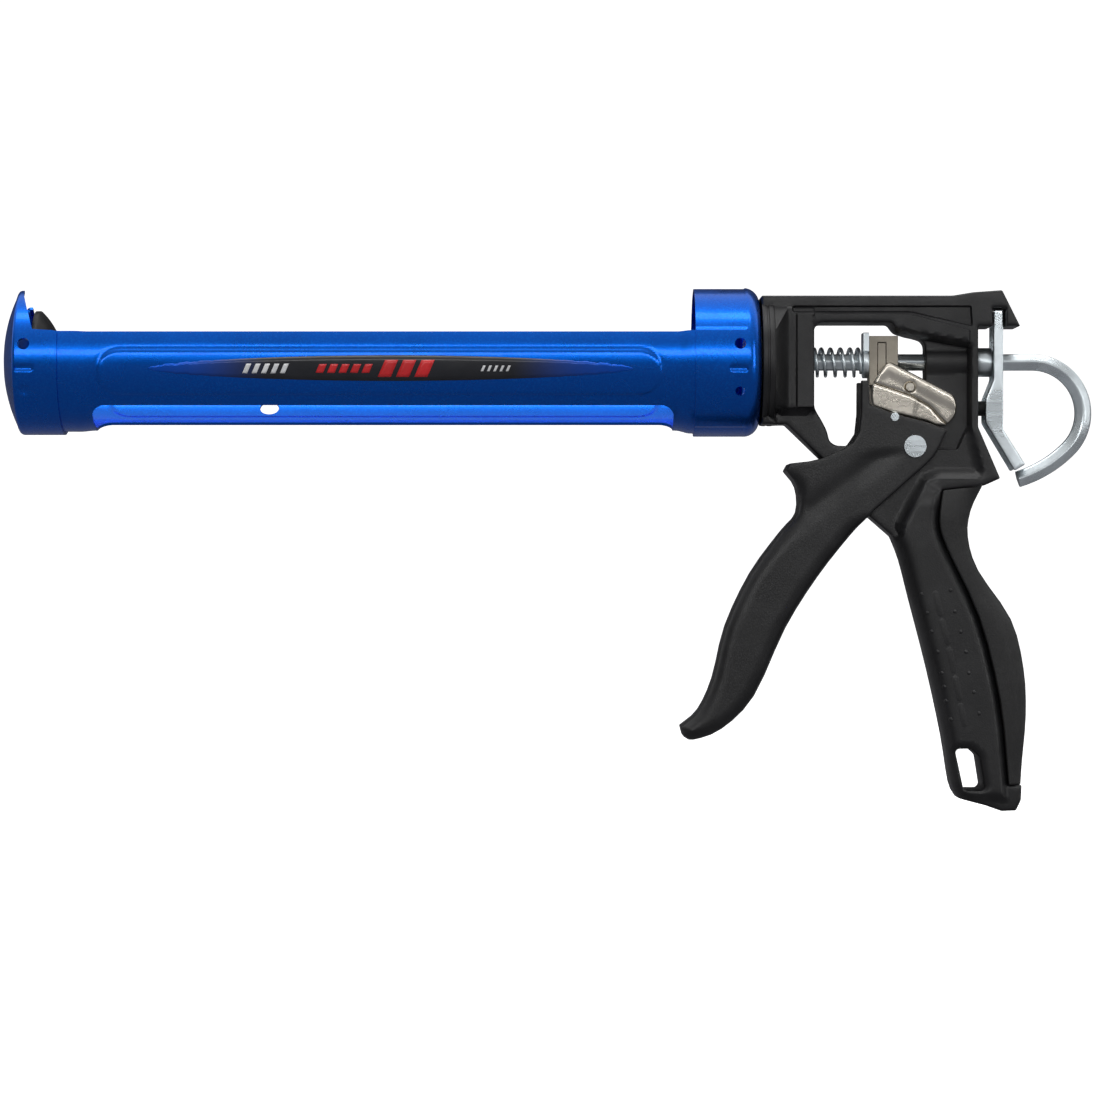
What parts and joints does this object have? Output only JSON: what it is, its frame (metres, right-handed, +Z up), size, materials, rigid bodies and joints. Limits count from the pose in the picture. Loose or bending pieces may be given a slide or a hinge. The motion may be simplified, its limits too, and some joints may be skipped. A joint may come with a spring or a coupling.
{
  "type": "caulking gun",
  "caption": "Hand-pumped caulking gun with a turning half-pipe cradle, hexagonal push rod with hook, moulded pistol grip, squeeze trigger and thumb release.",
  "frame": {"origin": "on the push rod's axis at the front face of the head's flange, where the cradle turns", "axes": "+X along the rod from the nose to the hook, +Z up away from the grip, Y across the tool"},
  "size_m": [0.4224, 0.058, 0.2032],
  "materials": {
    "blue_lacquer": "glossy metallic lacquer on sheet steel",
    "black_moulding": "satin black moulding",
    "black_rubber": "soft matte",
    "black_steel": "black coated",
    "zinc_steel": "bright zinc plate",
    "warm_nickel": "satin nickel plate",
    "grey_steel": "ground, oiled"
  },
  "bodies": {
    "head": {"head_casting": "black_moulding", "palm_pad": "black_rubber", "swivel_tube": "zinc_steel", "swivel_nut": "zinc_steel", "swivel_washer": "zinc_steel", "pivot_rivet": "zinc_steel", "pivot_cap": "zinc_steel", "rear_bush": "zinc_steel", "release_stop": "black_rubber", "return_spring": "zinc_steel", "release_spring": "zinc_steel"},
    "cradle": {"nose_cap": "blue_lacquer", "barrel_shell": "blue_lacquer", "rear_collar": "blue_lacquer"},
    "rod": {"push_rod": "zinc_steel", "pusher_plate": "black_steel", "pusher_nut": "zinc_steel", "pusher_washer": "zinc_steel"},
    "trigger": {"trigger": "black_moulding", "drive_lever": "warm_nickel", "lever_stop": "warm_nickel", "lever_pin": "warm_nickel", "coupling_pin": "zinc_steel"},
    "drive": {"drive_block": "grey_steel", "gripping_plate": "grey_steel", "spring_seat": "zinc_steel"},
    "release": {"release_plate": "zinc_steel"}
  },
  "joints": [
    {"name": "cradle_turn", "type": "hinge", "parent": "head", "child": "cradle", "pos_m": [0, 0, 0], "axis": [1, 0, 0], "continuous": true},
    {"name": "rod_slide", "type": "slide", "parent": "head", "child": "rod", "axis": [1, 0, 0], "range_m": [0, 0.258]},
    {"name": "trigger_pull", "type": "hinge", "parent": "head", "child": "trigger", "pos_m": [0.0593, 0, -0.033], "axis": [0, -1, 0], "range_deg": [0, 18], "stiffness_Nm_per_rad": 0.6, "springref_deg": -22.92},
    {"name": "drive_slide", "type": "slide", "parent": "head", "child": "drive", "axis": [-1, 0, 0], "range_m": [0, 0.0088], "deforming": ["return_spring"]},
    {"name": "release_press", "type": "hinge", "parent": "head", "child": "release", "pos_m": [0.092, 0, 0.019], "axis": [0, 1, 0], "range_deg": [0, 3.5], "stiffness_Nm_per_rad": 0.3, "springref_deg": -11.46, "deforming": ["release_spring"]}
  ],
  "couplings": [
    {"joint": "drive_slide", "follows": "trigger_pull", "m_per_rad": 0.02769}
  ]
}
